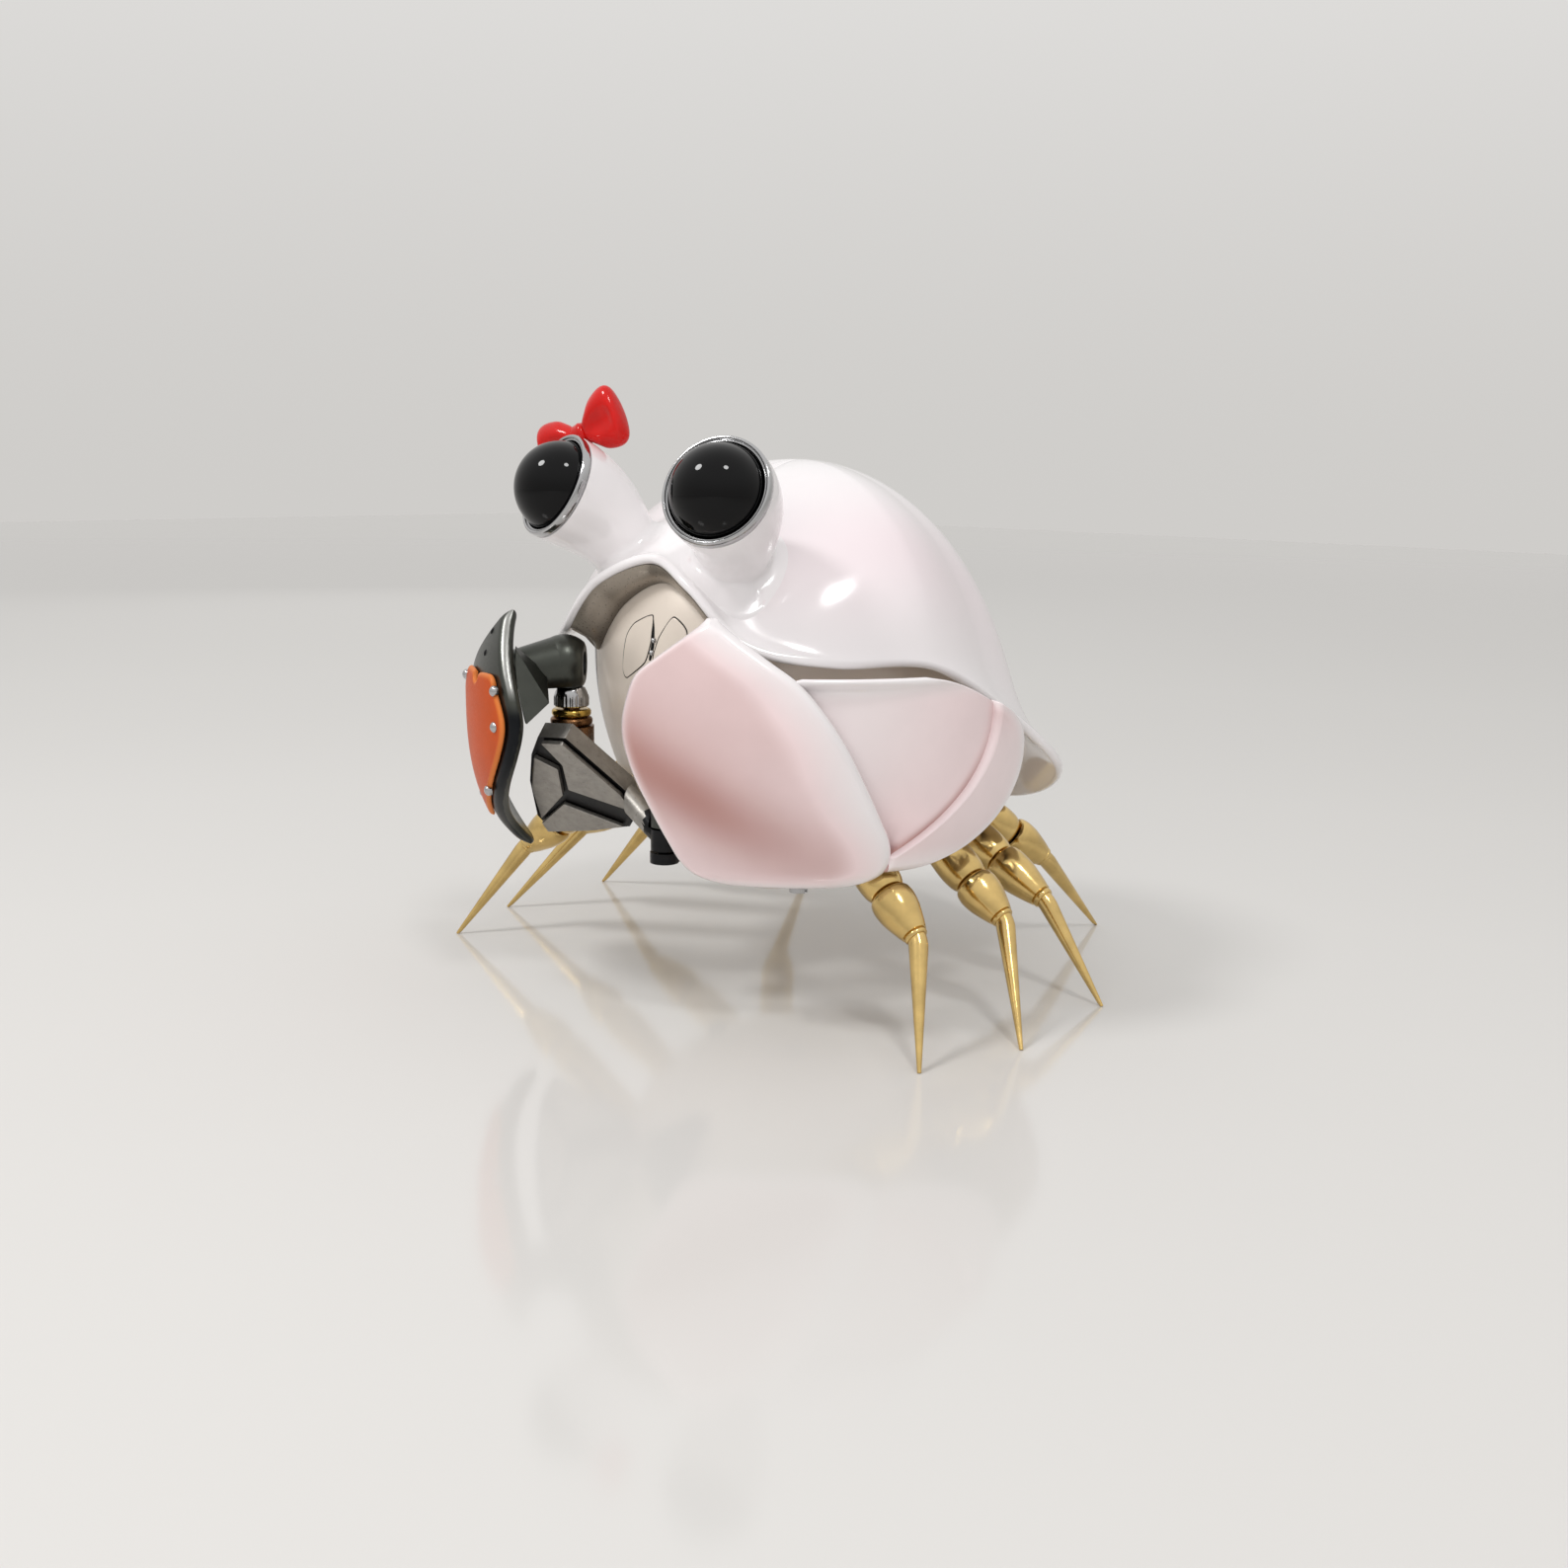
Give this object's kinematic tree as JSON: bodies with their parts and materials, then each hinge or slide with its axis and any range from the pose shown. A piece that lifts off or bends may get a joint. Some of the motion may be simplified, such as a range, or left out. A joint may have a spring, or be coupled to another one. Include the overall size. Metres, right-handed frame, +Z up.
{
  "type": "crab figurine",
  "caption": "Metal crab figurine with a white hood, goggle eyes on bent stalks, a red bow, a riveted grey claw, a shell-like pink claw and slim gilt legs.",
  "frame": {"origin": "under the middle of the figure's bounding box, on the ground plane that the leg tips stand on", "axes": "+Z up, -Y the way the crab faces, +X towards the crab's left side with the pink claw"},
  "size_m": [0.1006, 0.0922, 0.0846],
  "materials": {
    "white_enamel": "glossy white enamel",
    "champagne_metal": "satin champagne plate",
    "khaki_metal": "satin bare metal",
    "dark_steel": "dark oxidised steel",
    "gunmetal": "smooth gunmetal",
    "gilt": "polished gilt brass",
    "polished_steel": "mirror polish",
    "black_glass": "opaque black glass",
    "red_enamel": "glossy red enamel",
    "faceted_steel": "fine-grained bead-blasted steel",
    "orange_enamel": "satin orange enamel",
    "copper": "aged copper",
    "brass": "polished brass",
    "pink_enamel": "glossy pearl pink enamel, deeper rose at the lower front"
  },
  "bodies": {
    "crab_base": {"carapace": "white_enamel", "brim_liner": "khaki_metal", "body_shell": "champagne_metal", "belly_plate": "champagne_metal", "chassis": "dark_steel", "belly_screws": "polished_steel", "mouth_plate_left": "champagne_metal", "mouth_plate_right": "champagne_metal", "mouth_pins": "dark_steel", "bow_knot": "red_enamel", "bow_loops": "red_enamel", "shoulder_bracket": "dark_steel", "eye_stalk_left": "white_enamel", "eye_stalk_right": "white_enamel", "eye_bezel_left": "polished_steel", "eye_bezel_right": "polished_steel", "eye_glass_left": "black_glass", "eye_glass_right": "black_glass", "hip_lobe_left_1": "gilt", "hip_lobe_right_1": "gilt", "hip_lobe_left_2": "gilt", "hip_lobe_right_2": "gilt", "hip_lobe_left_3": "gilt", "hip_lobe_right_3": "gilt", "hip_lobe_left_4": "gilt", "hip_lobe_right_4": "gilt"},
    "leg_left_1": {"leg_barrel_left_1": "gilt", "leg_spike_left_1": "gilt"},
    "leg_left_2": {"leg_barrel_left_2": "gilt", "leg_spike_left_2": "gilt"},
    "leg_left_3": {"leg_barrel_left_3": "gilt", "leg_spike_left_3": "gilt"},
    "leg_left_4": {"leg_barrel_left_4": "gilt", "leg_spike_left_4": "gilt"},
    "leg_right_1": {"leg_barrel_right_1": "gilt", "leg_spike_right_1": "gilt"},
    "leg_right_2": {"leg_barrel_right_2": "gilt", "leg_spike_right_2": "gilt"},
    "leg_right_3": {"leg_barrel_right_3": "gilt", "leg_spike_right_3": "gilt"},
    "leg_right_4": {"leg_barrel_right_4": "gilt", "leg_spike_right_4": "gilt"},
    "grey_arm_link": {"grey_arm": "faceted_steel", "arm_plate_high": "faceted_steel", "arm_plate_middle": "faceted_steel", "arm_plate_low": "faceted_steel", "wrist_washer": "copper", "brass_ring": "brass"},
    "grey_claw_link": {"knurled_nut": "polished_steel", "wrist_drum": "gunmetal", "horn_facet": "polished_steel", "grey_shield": "gunmetal", "orange_panel": "orange_enamel", "shield_rivets": "polished_steel"},
    "pink_arm_link": {"pink_arm": "dark_steel"},
    "pink_claw_link": {"pink_hub": "dark_steel", "pink_palm": "pink_enamel", "pink_back": "pink_enamel"}
  },
  "joints": [
    {"name": "grey_shoulder", "type": "hinge", "parent": "crab_base", "child": "grey_arm_link", "pos_m": [0.002, -0.02966, 0.022], "axis": [0, 0, 1], "range_deg": [0, 15]},
    {"name": "grey_wrist", "type": "hinge", "parent": "grey_arm_link", "child": "grey_claw_link", "pos_m": [-0.015, -0.03086, 0.04032], "axis": [0, 0, 1], "range_deg": [-12, 0]},
    {"name": "pink_shoulder", "type": "hinge", "parent": "crab_base", "child": "pink_arm_link", "pos_m": [0.002, -0.02966, 0.0253], "axis": [0, 0, 1], "range_deg": [-15, 0]},
    {"name": "pink_wrist", "type": "hinge", "parent": "pink_arm_link", "child": "pink_claw_link", "pos_m": [0.015, -0.03086, 0.04032], "axis": [0, 0, 1], "range_deg": [-10, 0]},
    {"name": "leg_left_1", "type": "hinge", "parent": "crab_base", "child": "leg_left_1", "pos_m": [0.03154, -0.01785, 0.01879], "axis": [0.7768, -0.1968, -0.5982], "range_deg": [-20, 20]},
    {"name": "leg_left_2", "type": "hinge", "parent": "crab_base", "child": "leg_left_2", "pos_m": [0.035, -0.00251, 0.01811], "axis": [0.8182, -0.1282, -0.5605], "range_deg": [-20, 20]},
    {"name": "leg_left_3", "type": "hinge", "parent": "crab_base", "child": "leg_left_3", "pos_m": [0.0305, 0.01253, 0.01761], "axis": [0.88, -0.0838, -0.4676], "range_deg": [-20, 20]},
    {"name": "leg_left_4", "type": "hinge", "parent": "crab_base", "child": "leg_left_4", "pos_m": [0.0233, 0.02735, 0.018], "axis": [0.486, 0.6555, -0.578], "range_deg": [-20, 20]},
    {"name": "leg_right_1", "type": "hinge", "parent": "crab_base", "child": "leg_right_1", "pos_m": [-0.03154, -0.01785, 0.01879], "axis": [-0.7768, -0.1968, -0.5982], "range_deg": [-20, 20]},
    {"name": "leg_right_2", "type": "hinge", "parent": "crab_base", "child": "leg_right_2", "pos_m": [-0.035, -0.00251, 0.01811], "axis": [-0.8182, -0.1282, -0.5605], "range_deg": [-20, 20]},
    {"name": "leg_right_3", "type": "hinge", "parent": "crab_base", "child": "leg_right_3", "pos_m": [-0.0305, 0.01253, 0.01761], "axis": [-0.88, -0.0838, -0.4676], "range_deg": [-20, 20]},
    {"name": "leg_right_4", "type": "hinge", "parent": "crab_base", "child": "leg_right_4", "pos_m": [-0.0233, 0.02735, 0.018], "axis": [-0.486, 0.6555, -0.578], "range_deg": [-20, 20]}
  ]
}
